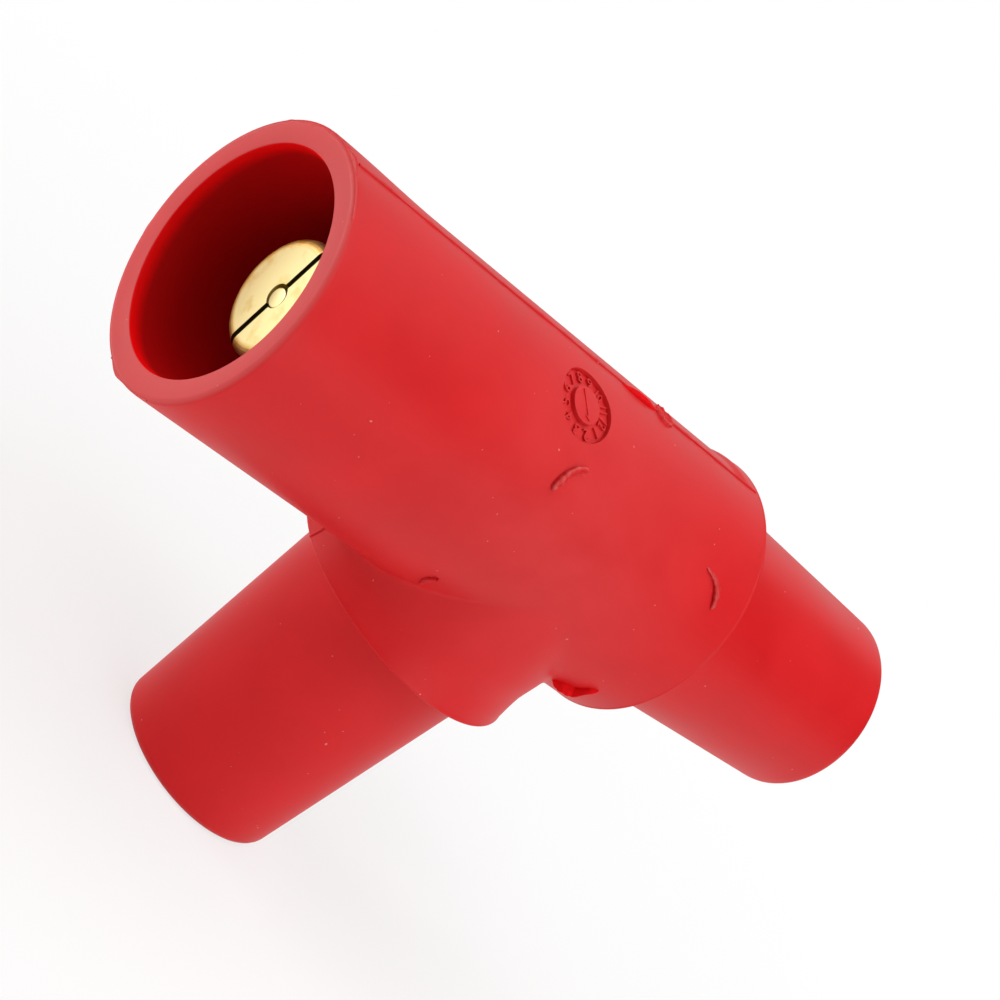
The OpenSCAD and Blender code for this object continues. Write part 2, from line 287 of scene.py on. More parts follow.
# The back half of the mould is a little out of step with the front, which shows at the parting line on top
halves = {
    "drop": 0.5,  # mm that the back half lies lower
    "from": -63.4,
    "start": 20,  # it sets in over this length
    "to": 21.5,
    "end": 1.2,
    "least": 0.5,  # degrees, the parting line itself stays
    "level": 50,  # degrees behind it that go down fully
    "round": 90,  # and where the step has faded out
    "skin": 0.05,  # only the outside moves
}
out = np.hypot(places[:, 1], places[:, 2])
past = np.degrees(np.arctan2(places[:, 1], places[:, 2]))  # degrees behind the parting line
lower = np.clip((places[:, 0] - halves["from"]) / halves["start"], 0, 1)
lower *= np.clip((halves["to"] - places[:, 0]) / halves["end"], 0, 1)
lower *= np.clip((halves["round"] - past) / (halves["round"] - halves["level"]), 0, 1)
lower *= (past > halves["least"]) & (out > body["barrel"] - halves["skin"])
lower = lower * lower * (3 - 2 * lower)
places[:, 1:] *= (1 - halves["drop"] * lower / np.maximum(out, 1))[:, None]
writePoints(tee, places)


# Pockets that the brass fills, and the openings of the two noses
pocket = {
    "radius": 11.1,
    "key": 9.7,  # ring of rubber that keys a contact
    "keyWide": 4,
    "blockHalf": 13,
    "blockBevel": 2,
    "socketBehind": 6,  # socket mouth behind the nose tip
    "opening": 9.4,
    "openingRound": 0.4,
    "past": 0.02,  # the rounding runs out past the end face
    "twist": 0.5,  # degrees, so that no edge of a cutter meets an edge of the body
    "over": 1,  # cutters reach this far past what they open into
    "steps": 128,
}


def keyedPocket(end, keyAt):
    half = pocket["keyWide"] / 2
    return [
        (pocket["blockHalf"] - pocket["over"], 0), (pocket["blockHalf"] - pocket["over"], pocket["radius"]),
        (keyAt - half, pocket["radius"]), (keyAt - half, pocket["key"]),
        (keyAt + half, pocket["key"]), (keyAt + half, pocket["radius"]), (end, pocket["radius"]),
    ]


def socketPocket(shoulder):
    tip = shoulder + body["noseLong"]
    mouth = tip - pocket["socketBehind"]
    soften = pocket["openingRound"]
    ease = arcPoints((tip + pocket["past"] - soften, pocket["opening"] + soften), soften, 270, 360, 4)
    wayOut = [(tip + pocket["over"], ease[-1][1]), (tip + pocket["over"], 0)]
    return keyedPocket(mouth, shoulder) + [(mouth, pocket["opening"])] + ease + wayOut


collarEnd = -floorX + pocket["over"]
collarLine = keyedPocket(collarEnd, (pocket["blockHalf"] - floorX) / 2) + [(collarEnd, 0)]
cuts = [
    (collarLine, 180),
    (socketPocket(body["runShoulder"]), 0),
    (socketPocket(body["branchShoulder"]), 90),
]
twist = math.radians(pocket["twist"])
for outline, turn in cuts:
    cutter = turnOutline("pocket", outline, pocket["steps"])
    spots = readPoints(cutter)
    across = spots[:, 1] * math.cos(twist) - spots[:, 2] * math.sin(twist)
    up = spots[:, 1] * math.sin(twist) + spots[:, 2] * math.cos(twist)
    writePoints(cutter, np.stack([spots[:, 0], across, up], 1))
    layAlong(cutter, turn)
    combine(tee, cutter, "DIFFERENCE")
startFresh()
bpy.ops.mesh.primitive_cube_add(size=2 * pocket["blockHalf"] * mm, location=crossing)
cavity = bpy.context.object
bpy.ops.object.transform_apply(location=True, rotation=False, scale=False)
bpy.ops.object.mode_set(mode="EDIT")
bpy.ops.mesh.select_all(action="DESELECT")
bpy.ops.object.mode_set(mode="OBJECT")
for edge in cavity.data.edges:  # the four edges along the run
    ends = [cavity.data.vertices[i].co for i in edge.vertices]
    edge.select = abs(ends[0].x - ends[1].x) > mm
bpy.ops.object.mode_set(mode="EDIT")
bpy.ops.mesh.select_mode(type="EDGE")
bpy.ops.mesh.bevel(offset=pocket["blockBevel"] * mm, offset_type="OFFSET", segments=1)
bpy.ops.mesh.select_mode(type="VERT")
bpy.ops.object.mode_set(mode="OBJECT")
combine(tee, cavity, "DIFFERENCE")
print("pockets cut, faces:", len(tee.data.polygons))


# Date dial on the barrel, with plain numbers
dial = {
    "x": -17.2,
    "angle": 63.6,  # up round the barrel from the front
    "outer": 5.15,
    "hub": 2.65,
    "deep": 0.7,
    "clear": 2,  # the cutter stands this far out of the barrel
    "fine": 0.6,
    "steps": 72,
    "numbers": 12,
    "numberRing": 3.9,
    "numberSize": 2.3,
    "narrow": 0.72,  # of a two-figure number
    "relief": 0.35,
    "sunk": 0.05,  # the numbers reach twice this far under the dial's floor
    "numberTurn": -9,
    "arrowTurn": -66,
    "arrowLong": 3.7,
    "arrowWide": 0.55,
    "arrowThick": 0.6,
    "arrowSunk": 0.1,
    "headLong": 0.7,
    "headWide": 2.6,  # of the shaft's width
    "headPoint": 0.1,  # of the head's width
    "merge": 0.01,
}


def wrapOnBarrel(piece, x, angle):  # (u, v, lift) in mm becomes a place on the barrel
    flat = readPoints(piece)
    turn = math.radians(angle) + flat[:, 1] / body["barrel"]
    out = body["barrel"] + flat[:, 2]
    writePoints(piece, np.stack([x + flat[:, 0], -out * np.cos(turn), out * np.sin(turn)], 1))


def flatRing(name, outline, steps):  # a turned ring lying flat, its axis up from the crossing
    ring = turnOutline(name, outline, steps)
    layAlong(ring, -90)
    return ring


ringLine = divided([(-dial["deep"], dial["hub"]), (-dial["deep"], dial["outer"])], dial["fine"])
ringLine += [(dial["clear"], dial["outer"]), (dial["clear"], dial["hub"]), (-dial["deep"], dial["hub"])]
dialCut = flatRing("dial_cut", ringLine, dial["steps"])
wrapOnBarrel(dialCut, dial["x"], dial["angle"])
combine(tee, dialCut, "DIFFERENCE")


def raisedNumber(number):
    startFresh()
    bpy.ops.object.text_add(location=(0, 0, 0))
    sign = bpy.context.object
    sign.data.body = str(number)
    sign.data.align_x = "CENTER"
    sign.data.align_y = "CENTER"
    sign.data.size = dial["numberSize"] * mm
    sign.data.extrude = (dial["relief"] / 2 + dial["sunk"]) * mm
    sign.data.resolution_u = 4
    bpy.ops.object.convert(target="MESH")
    turn = math.radians(dial["numberTurn"] - 360 / dial["numbers"] * number)
    reach = dial["numberRing"] * mm
    lift = (dial["relief"] / 2 - dial["sunk"] - dial["deep"]) * mm
    sign.scale.x = dial["narrow"] if number > 9 else 1
    sign.rotation_euler = (0, 0, turn - math.pi / 2)
    sign.location = crossing + Vector((reach * math.cos(turn), reach * math.sin(turn), lift))
    bpy.ops.object.transform_apply(location=True, rotation=True, scale=True)
    return sign


signs = [raisedNumber(number) for number in range(1, dial["numbers"] + 1)]
startFresh()
bpy.ops.mesh.primitive_cube_add(size=mm, location=crossing)  # the arrow on the dial's hub
arrow = bpy.context.object
bpy.ops.object.transform_apply(location=True, rotation=False, scale=False)
bpy.ops.object.mode_set(mode="EDIT")
shaft = (dial["arrowLong"], dial["arrowWide"], dial["arrowThick"])
bpy.ops.transform.resize(value=shaft, center_override=crossing)
bpy.ops.mesh.select_all(action="DESELECT")
bpy.ops.object.mode_set(mode="OBJECT")
for face in arrow.data.polygons:
    face.select = face.normal.x > 0.9
bpy.ops.object.mode_set(mode="EDIT")
bpy.ops.mesh.select_mode(type="FACE")
bpy.ops.mesh.extrude_region_move(TRANSFORM_OT_translate={"value": (0, 0, 0)})
headFoot = crossing + Vector((dial["arrowLong"] / 2 * mm, 0, 0))
bpy.ops.transform.resize(value=(1, dial["headWide"], 1), center_override=headFoot)
bpy.ops.mesh.extrude_region_move(TRANSFORM_OT_translate={"value": (dial["headLong"] * mm, 0, 0)})
headEnd = crossing + Vector(((dial["arrowLong"] / 2 + dial["headLong"]) * mm, 0, 0))
bpy.ops.transform.resize(value=(1, dial["headPoint"], 1), center_override=headEnd)
bpy.ops.mesh.select_all(action="SELECT")
bpy.ops.transform.translate(value=(-dial["headLong"] / 2 * mm, 0, -dial["arrowSunk"] * mm))
bpy.ops.transform.rotate(value=-math.radians(dial["arrowTurn"]), orient_axis="Z", center_override=crossing)
bpy.ops.mesh.select_mode(type="VERT")
bpy.ops.object.mode_set(mode="OBJECT")
pickOnly(arrow)
for sign in signs:
    sign.select_set(True)
bpy.ops.object.join()
closeUp(arrow, dial["merge"])
wrapOnBarrel(arrow, dial["x"], dial["angle"])
arrow.name = arrow.data.name = "dial_marks"
print("dial made")


# Marks of the mould: ridges at the corners of its front insert, flash along the parting line, the torn gate
def plainBar(name, rings, sides):  # a straight bar, one ring to a mm, whose points are moved later
    startFresh()
    bpy.ops.mesh.primitive_circle_add(
        vertices=sides, radius=mm, fill_type="NGON", location=crossing, rotation=(0, math.pi / 2, 0))
    bar = bpy.context.object
    bar.name = bar.data.name = name
    bpy.ops.object.transform_apply(location=True, rotation=True, scale=True)
    bpy.ops.object.mode_set(mode="EDIT")
    bpy.ops.mesh.select_all(action="SELECT")
    for _ in range(rings):
        bpy.ops.mesh.extrude_region_move(TRANSFORM_OT_translate={"value": (mm, 0, 0)})
    bpy.ops.object.mode_set(mode="OBJECT")
    closeUp(bar)
    spots = readPoints(bar)
    return bar, spots[:, 0] / rings, spots[:, 1], spots[:, 2]


def onFront(x, z, lift):  # a place on the front of the hub, raised along its normal
    places = np.stack([x, np.full(len(x), -30.0), z], 1)
    for _ in range(80):
        places[:, 1] += teeField(places)[0]
    slope = teeField(places)[1]
    return places + slope / np.linalg.norm(slope, axis=1)[:, None] * lift[:, None]


def onBarrel(x, across, lift, angle):  # a place on the barrel, by its distance round from an angle
    turn = math.radians(angle) + across / body["barrel"]
    out = body["barrel"] + lift
    return np.stack([x, -out * np.cos(turn), out * np.sin(turn)], 1)


def lumps(values, step, seed):  # smooth unevenness from -1 to 1 along a mark
    return np.array([noise.noise(Vector((value / step, seed, 0.5))) for value in values])


finishes = {"plain": [], "paleSheen": [], "torn": []}


def layBar(bar, places, finish):  # puts the points of a bar in place and sorts it by its finish
    writePoints(bar, places)
    closeUp(bar)
    finishes[finish].append(bar)


insert = {
    "rings": 44,
    "sides": 14,
    "sunk": 0.5,
    "proud": 0.07,  # their widest line stands this far out of the skin
    "uneven": 0.14,
    "lumpLong": 0.12,  # of the ridge's length
    "blunt": 0.07,  # of its length, over which an end closes
    "stub": 0.08,  # what is left of its height at the very end
    "ahead": 0.06,  # of its length, over which its heading is taken
    "corners": [  # path across the front in mm from the crossing, and the ridge's widths and heights
        {
            "path": [(-17.33, 9.56), (-17.21, 10.46), (-16.79, 11.22), (-16.43, 11.93),
                     (-15.68, 12.68), (-14.59, 13.24), (-13.38, 13.52)],
            "wide": [0.9, 1.2, 1.25, 1.15, 1.0, 0.9, 0.75],
            "tall": [0.65, 0.82, 0.82, 0.75, 0.62, 0.52, 0.4],
            "lean": 0.45,
            "finish": "paleSheen",
        },
        {
            "path": [(13.63, 13.43), (15.39, 13.10), (16.53, 12.65), (17.29, 12.10),
                     (17.84, 11.36), (18.11, 10.46), (18.16, 9.87)],
            "wide": [0.3, 0.55, 0.9, 1.15, 1.15, 0.95, 0.6],
            "tall": [0.2, 0.42, 0.6, 0.7, 0.7, 0.6, 0.45],
            "lean": -0.55,
            "finish": "paleSheen",
        },
        {
            "path": [(-15.25, -13.83), (-16.42, -12.40), (-16.70, -11.39),
                     (-16.43, -10.73), (-15.97, -10.68)],
            "wide": [0.5, 0.85, 0.95, 0.85, 0.5],
            "tall": [0.25, 0.5, 0.55, 0.5, 0.3],
            "lean": 0.35,
            "finish": "plain",
        },
        {
            "path": [(14.30, -14.35), (15.43, -13.40), (16.24, -13.14), (17.00, -12.80),
                     (17.25, -11.90), (17.47, -10.83), (18.30, -10.05)],
            "wide": [0.5, 0.6, 0.6, 0.6, 0.55, 0.5, 0.4],
            "tall": [0.7, 1.3, 1.4, 1.4, 1.05, 0.8, 0.35],
            "lean": 0.35,
            "finish": "torn",
        },
    ],
}
for number, corner in enumerate(insert["corners"]):
    ridge, along, side, rise = plainBar("corner_ridge", insert["rings"], insert["sides"])
    path = np.array(corner["path"])
    gone = np.concatenate([[0], np.cumsum(np.hypot(*np.diff(path, axis=0).T))])
    gone /= gone[-1]
    x, z = [np.interp(along, gone, line) for line in path.T]
    before = along - insert["ahead"]
    after = along + insert["ahead"]
    ahead = np.stack([np.interp(after, gone, line) - np.interp(before, gone, line) for line in path.T])
    ahead /= np.hypot(*ahead)
    outward = np.stack([ahead[1], -ahead[0]])
    outward *= np.sign((outward * np.stack([x, z])).sum(0))
    blunt = np.clip(np.minimum(along, 1 - along) / insert["blunt"], 0, 1) ** 0.5
    blunt = blunt * (1 - insert["stub"]) + insert["stub"]
    lumpy = blunt * (1 + insert["uneven"] * lumps(along, insert["lumpLong"], seed=number * 7.3))
    wide = np.interp(along, gone, corner["wide"]) * lumpy
    tall = np.interp(along, gone, corner["tall"]) * lumpy
    across = wide / 2 * (side + corner["lean"] * np.clip(rise, 0, 1))
    lift = insert["proud"] + np.where(rise > 0, rise * tall, rise * insert["sunk"])
    layBar(ridge, onFront(x + outward[0] * across, z + outward[1] * across, lift), corner["finish"])

flash = {
    "wide": 0.5,
    "tall": 0.22,
    "sunk": 0.9,
    "lean": 0.12,  # how far it wanders off the parting line
    "coarse": 0.45,  # its unevenness
    "fine": 0.25,
    "sides": 8,
    "runs": [(90, -63.0, 23.2), (270, -64.1, -20.6)],  # angle round the barrel, from and to
    "hubFrom": 20.0,  # down both sides of the branch hub
    "hubLong": 5.3,
    "hubUneven": 0.4,
    "hubRings": 14,
}
for angle, start, end in flash["runs"]:
    thread, along, side, rise = plainBar("parting_flash", int(2 * (end - start)), flash["sides"])
    x = start + (end - start) * along
    uneven = 1 + flash["coarse"] * lumps(x, step=2.6, seed=3.1) + flash["fine"] * lumps(x, step=0.8, seed=9.4)
    across = side * flash["wide"] / 2 * uneven + flash["lean"] * lumps(x, step=6, seed=5.2)
    lift = np.where(rise > 0, rise * flash["tall"] * uneven, rise * flash["sunk"])
    layBar(thread, onBarrel(x, across, lift, angle), "plain")
for way in (-1, 1):
    thread, along, side, rise = plainBar("parting_flash", flash["hubRings"], flash["sides"])
    down = flash["hubFrom"] + flash["hubLong"] * along
    uneven = 1 + flash["hubUneven"] * lumps(down, step=1.5, seed=4.7 + way)
    out = hubRadius(down) + np.where(rise > 0, rise * flash["tall"] * uneven, rise * flash["sunk"])
    layBar(thread, np.stack([way * out, side * flash["wide"] / 2 * uneven, -down], 1), "plain")

ragged = {  # flash on the rim's outer edge, thicker at the parting line
    "from": -125,  # degrees round the mouth
    "to": 118,
    "rings": 200,
    "sides": 8,
    "back": 0.55,  # mm behind the mouth
    "wide": 0.6,
    "under": 0.05,
    "sunk": 0.5,
    "thin": 0.05,
    "least": 0.02,
    "lump": 0.45,
    "middle": -15,  # the lumps lie round this angle
    "reach": 70,
    "fade": 15,
    "nub": 0.5,
    "nubs": (-98, 91),
    "nubWide": 6,
}
rimFlash, along, side, rise = plainBar("rim_flash", ragged["rings"], ragged["sides"])
turn = ragged["from"] + (ragged["to"] - ragged["from"]) * along
lumpy = np.clip(lumps(turn, step=11, seed=2.3) + 0.4 * lumps(turn, step=4, seed=8.8), 0, 1)
tall = ragged["thin"] + ragged["lump"] * lumpy
tall *= np.clip((ragged["reach"] - np.abs(turn - ragged["middle"])) / ragged["fade"], 0, 1)
for nubAt in ragged["nubs"]:
    tall += ragged["nub"] * np.exp(-((turn - nubAt) / ragged["nubWide"]) ** 2)
tall = np.maximum(tall, ragged["least"])
out = body["barrel"] - ragged["under"] + np.where(rise > 0, rise * tall, rise * ragged["sunk"])
x = mouthX + ragged["back"] + side * ragged["wide"] / 2
layBar(rimFlash, np.stack([x, out * np.cos(np.radians(turn)), out * np.sin(np.radians(turn))], 1), "plain")

flap = {  # taller flash before the gate, swollen in its middle
    "from": -8.8,
    "to": -1.2,
    "rings": 30,
    "sides": 10,
    "wide": 1.0,
    "tall": 0.7,
    "off": -0.45,
    "sunk": 0.5,
    "skew": 1.2,
    "full": 0.7,
    "stub": 0.05,
}
lens, along, side, rise = plainBar("flash_flap", flap["rings"], flap["sides"])
x = flap["from"] + (flap["to"] - flap["from"]) * along
swell = np.sin(np.pi * np.clip(along, 0, 1) ** flap["skew"]) ** flap["full"] + flap["stub"]
lift = np.where(rise > 0, rise * flap["tall"] * swell, rise * flap["sunk"])
layBar(lens, onBarrel(x, flap["off"] + side * flap["wide"] / 2 * swell, lift, 90), "torn")

gate = {
    "x": 1.0,
    "radius": 1.85,
    "wall": 0.8,
    "tall": 0.4,
    "floor": 0.15,
    "foot": -0.06,
    "root": -1.2,
    "fine": 0.3,
    "steps": 56,
    "wander": 0.16,  # how far its outline strays, as a share
    "pull": 0.2,  # and how far its rim was drawn up
    "tear": 0.28,
}
craterLine = [
    (gate["root"], 0),
    (gate["floor"], 0),
    (gate["floor"], gate["radius"] - gate["wall"]),
    (gate["tall"], gate["radius"] - gate["wall"] * 0.7),
    (gate["tall"] * 0.8, gate["radius"] - 0.15),
    (gate["foot"], gate["radius"]),
    (gate["root"], gate["radius"]),
    (gate["root"], 0),
]
crater = flatRing("gate_scar", divided(craterLine, gate["fine"]), gate["steps"])
spots = readPoints(crater)
for spot in spots:  # the gate was twisted off, so its rim is ragged
    pull = noise.noise(Vector((spot[0] * 1.1, spot[1] * 1.1, 2.0)))
    tear = noise.noise(Vector((spot[0] * 2.7, spot[1] * 2.7, 7.0)))
    spot[:2] *= 1 + gate["wander"] * pull
    if spot[2] > gate["floor"] - 0.01:
        spot[2] += (gate["pull"] * pull + gate["tear"] * tear) * (0.4 + max(spot[2], 0))
writePoints(crater, spots)
wrapOnBarrel(crater, gate["x"], 90)
closeUp(crater)
finishes["plain"].append(crater)
for mark in finishes["plain"]:
    combine(tee, mark, "UNION")


def joinAs(name, pieces):
    pickOnly(pieces[0])
    for piece in pieces:
        piece.select_set(True)
    bpy.ops.object.join()
    pieces[0].name = pieces[0].data.name = name
    return pieces[0]


tornFlash = joinAs("torn_flash", finishes["torn"])
cornerRidges = joinAs("corner_ridges", finishes["paleSheen"])
print("mould marks added, faces:", len(tee.data.polygons))


# The expander's end, eased at its edge and flush with the face of the split pin
expand = {"radius": 1.45, "ease": 0.12, "under": 0.02, "off": (-0.24, -0.1), "steps": 64}
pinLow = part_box("male_contact")[0]
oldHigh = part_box("expander_pin")[1]
faceX = -float(pinLow[0]) / mm - expand["under"]
tailX = -float(oldHigh[0]) / mm
edgeCentre = (faceX - expand["ease"], expand["radius"] - expand["ease"])
expandLine = [(tailX, 0), (tailX, expand["radius"]), (faceX - expand["ease"], expand["radius"])]
expandLine += arcPoints(edgeCentre, expand["ease"], 90, 0, 4)[1:] + [(faceX, 0)]
expander = turnOutline("expander_end", expandLine, expand["steps"])
layAlong(expander, 180)
writePoints(expander, readPoints(expander) + np.array([0, *expand["off"]]))


# Finish of the meshes
crisp = math.radians(32)  # edges steeper than this stay crisp
for piece in (tee, arrow, tornFlash, cornerRidges, expander):
    pickOnly(piece)
    bpy.ops.object.mode_set(mode="EDIT")
    bpy.ops.mesh.select_all(action="DESELECT")
    bpy.ops.mesh.select_face_by_sides(number=4, type="GREATER")
    bpy.ops.mesh.quads_convert_to_tris(quad_method="BEAUTY", ngon_method="BEAUTY")  # so no slivers overlap
    bpy.ops.object.mode_set(mode="OBJECT")
    bpy.ops.object.shade_smooth_by_angle(angle=crisp)


# Materials
def colour(code):  # sRGB hex to linear
    parts = [int(code[i:i + 2], 16) / 255 for i in (1, 3, 5)]
    return [p / 12.92 if p <= 0.04045 else ((p + 0.055) / 1.055) ** 2.4 for p in parts] + [1]


def addNode(tree, kind, inputs=None, stops=(), **settings):  # a node with its ramp stops, values and links
    node = tree.nodes.new(kind)
    for name, value in settings.items():
        setattr(node, name, value)
    for i, (place, value) in enumerate(stops):
        node.color_ramp.elements[i].position = place
        node.color_ramp.elements[i].color = value if isinstance(value, list) else [value, value, value, 1]
    for name, value in (inputs or {}).items():
        socket = node.inputs[name]
        if isinstance(value, bpy.types.NodeSocket):
            tree.links.new(value, socket)
        else:
            socket.default_value = value
    return node


def newMaterial(name):
    material = bpy.data.materials.new(name)
    material.use_nodes = True
    tree = material.node_tree
    shader = tree.nodes["Principled BSDF"]
    space = addNode(tree, "ShaderNodeTexCoord").outputs["Object"]
    return material, tree, shader, space


def perMm(size):  # noise scale for a detail of this size in mm
    return 1 / (size * mm)


# Thermoplastic elastomer, injection moulded: even satin red, faintly cloudy, with mould grain and some dust.
# Light and shade are painted into its colour: a paler painted sheen on the front and on the rim's face, a
# bright painted lead-in and painted shade deeper in the sleeve
elastomer = {
    "red": "#D41C20",
    "deep": "#CA161A",
    "litLeadIn": "#FF0A0E",
    "bore": "#BE0A0E",
    "palePink": "#E8A9A6",
    "rough": 0.46,
    "gloss": 0.21,
    "boreGloss": 0.06,
    "cloudSize": 14,  # mm, and so are the sizes and places below
    "speckSize": 2.2,
    "speckPatch": 6,
    "speckBent": 0.5,
    "speckWide": 0.09,  # widest speck, as a share of its cell
    "speckPale": 0.45,
    "scuffAndSheenAt": (-9, -19, 8),  # from the crossing, middle of a paler patch: partly scuffing, partly a painted sheen
    "scuffAndSheenNear": 6,
    "scuffAndSheenFar": 28,
    "scuffAndSheenPale": 0.085,
    "rimFrom": -63.9,
    "rimTo": -64.3,
    "rimPale": 0.14,
    "boreWide": 17.05,
    "boreEnd": -22,
    "leadFrom": -63.4,
    "leadTo": -61.9,
    "grainSize": 0.45,
    "grainDeep": 0.05,
    "grainStrong": 0.16,
}
rubber, tree, shader, space = newMaterial("moulded_elastomer_red")
clouds = addNode(tree, "ShaderNodeTexNoise", {
    "Vector": space, "Scale": perMm(elastomer["cloudSize"]), "Detail": 6.0})
tint = addNode(tree, "ShaderNodeValToRGB", {"Fac": clouds.outputs["Fac"]},
               [(0.3, colour(elastomer["deep"])), (0.7, colour(elastomer["red"]))])
uneven = addNode(tree, "ShaderNodeTexNoise", {"Vector": space, "Scale": perMm(0.7), "Detail": 2.0})
bend = elastomer["speckBent"] * mm
bent = addNode(tree, "ShaderNodeVectorMath", {
    0: uneven.outputs["Color"], 1: (bend, bend, bend)}, operation="MULTIPLY")
astray = addNode(tree, "ShaderNodeVectorMath", {0: space, 1: bent.outputs[0]})
specks = addNode(tree, "ShaderNodeTexVoronoi", {
    "Vector": astray.outputs[0], "Scale": perMm(elastomer["speckSize"])})
where = addNode(tree, "ShaderNodeTexNoise", {
    "Vector": space, "Scale": perMm(elastomer["speckPatch"]), "Detail": 2.0})
reach = addNode(tree, "ShaderNodeMapRange", {
    "Value": where.outputs["Fac"], "From Min": 0.38, "From Max": 0.75,
    "To Min": 0.0, "To Max": elastomer["speckWide"]})
speck = addNode(tree, "ShaderNodeMath", {
    0: specks.outputs["Distance"], 1: reach.outputs[0]}, operation="LESS_THAN")
palePink = addNode(tree, "ShaderNodeMath", {
    0: speck.outputs[0], 1: elastomer["speckPale"]}, operation="MULTIPLY")
# A paler patch round this middle on the front, fading with distance: partly scuffing and dust haze, partly a
# painted sheen
middle = crossing + Vector(elastomer["scuffAndSheenAt"]) * mm
fromPatchMiddle = addNode(tree, "ShaderNodeVectorMath", {0: space, 1: middle}, operation="DISTANCE")
fading = addNode(tree, "ShaderNodeMapRange", {
    "Value": fromPatchMiddle.outputs["Value"],
    "From Min": elastomer["scuffAndSheenNear"] * mm, "From Max": elastomer["scuffAndSheenFar"] * mm,
    "To Min": elastomer["scuffAndSheenPale"], "To Max": 0.0})
scuffsAndSheen = addNode(tree, "ShaderNodeMath", {
    0: fading.outputs[0], 1: clouds.outputs["Fac"]}, operation="MULTIPLY")
dustAndSheen = addNode(tree, "ShaderNodeMath", {0: palePink.outputs[0], 1: scuffsAndSheen.outputs[0]}, operation="MAXIMUM")
skin = addNode(tree, "ShaderNodeMix", {
    "Factor": dustAndSheen.outputs[0], "A": tint.outputs["Color"], "B": colour(elastomer["palePink"])}, data_type="RGBA")
apart = addNode(tree, "ShaderNodeSeparateXYZ", {0: space})
paleSheen = addNode(tree, "ShaderNodeMapRange", {  # the rim's face is painted paler and pinker, a painted sheen
    "Value": apart.outputs["X"], "From Min": elastomer["rimFrom"] * mm, "From Max": elastomer["rimTo"] * mm,
    "To Min": 0.0, "To Max": elastomer["rimPale"]})
rimSheen = addNode(tree, "ShaderNodeMix", {
    "Factor": paleSheen.outputs[0],
    "A": skin.outputs["Result"], "B": colour(elastomer["palePink"])}, data_type="RGBA")
flat = addNode(tree, "ShaderNodeMapping", {
    "Vector": space, "Location": (0, 0, -crossing.z), "Scale": (0, 1, 1)})
out = addNode(tree, "ShaderNodeVectorMath", {0: flat.outputs["Vector"]}, operation="LENGTH")
within = addNode(tree, "ShaderNodeMath", {
    0: out.outputs["Value"], 1: elastomer["boreWide"] * mm}, operation="LESS_THAN")
behind = addNode(tree, "ShaderNodeMath", {
    0: apart.outputs["X"], 1: elastomer["boreEnd"] * mm}, operation="LESS_THAN")
bore = addNode(tree, "ShaderNodeMath", {0: within.outputs[0], 1: behind.outputs[0]}, operation="MULTIPLY")
past = addNode(tree, "ShaderNodeMapRange", {
    "Value": apart.outputs["X"],
    "From Min": elastomer["leadFrom"] * mm, "From Max": elastomer["leadTo"] * mm})
leadInToShade = addNode(tree, "ShaderNodeMix", {
    "Factor": past.outputs[0],
    "A": colour(elastomer["litLeadIn"]), "B": colour(elastomer["bore"])}, data_type="RGBA")
boreDeep = addNode(tree, "ShaderNodeMix", {  # painted shade: the sleeve's inside is coloured a darker red, with a painted bright red lead-in at its mouth
    "Factor": bore.outputs[0],
    "A": rimSheen.outputs["Result"], "B": leadInToShade.outputs["Result"]}, data_type="RGBA")
tree.links.new(boreDeep.outputs["Result"], shader.inputs["Base Color"])
gloss = addNode(tree, "ShaderNodeMapRange", {
    "Value": bore.outputs[0], "To Min": elastomer["gloss"], "To Max": elastomer["boreGloss"]})
tree.links.new(gloss.outputs[0], shader.inputs["Specular IOR Level"])
rough = addNode(tree, "ShaderNodeValToRGB", {"Fac": clouds.outputs["Fac"]},
                [(0.3, elastomer["rough"] - 0.04), (0.7, elastomer["rough"] + 0.05)])
tree.links.new(rough.outputs["Color"], shader.inputs["Roughness"])
grain = addNode(tree, "ShaderNodeTexNoise", {
    "Vector": space, "Scale": perMm(elastomer["grainSize"]), "Detail": 3.0})
bump = addNode(tree, "ShaderNodeBump", {
    "Height": grain.outputs["Fac"],
    "Strength": elastomer["grainStrong"], "Distance": elastomer["grainDeep"] * mm})
tree.links.new(bump.outputs["Normal"], shader.inputs["Normal"])


# The same elastomer where it was torn off the mould: a purer red without gloss, painted shade that gives the
# torn flash the saturated look of a shaded face
tornShadeLook = {"dark": "#D80E14", "light": "#E6141A", "rough": 0.7, "gloss": 0.05, "fibreSize": 0.6}
tornShadedRubber, tree, shader, space = newMaterial("torn_elastomer_shaded_red")
fibres = addNode(tree, "ShaderNodeTexNoise", {
    "Vector": space, "Scale": perMm(tornShadeLook["fibreSize"]), "Detail": 4.0})
tint = addNode(tree, "ShaderNodeValToRGB", {"Fac": fibres.outputs["Fac"]},
               [(0.3, colour(tornShadeLook["dark"])), (0.7, colour(tornShadeLook["light"]))])
tree.links.new(tint.outputs["Color"], shader.inputs["Base Color"])
shader.inputs["Roughness"].default_value = tornShadeLook["rough"]
shader.inputs["Specular IOR Level"].default_value = tornShadeLook["gloss"]


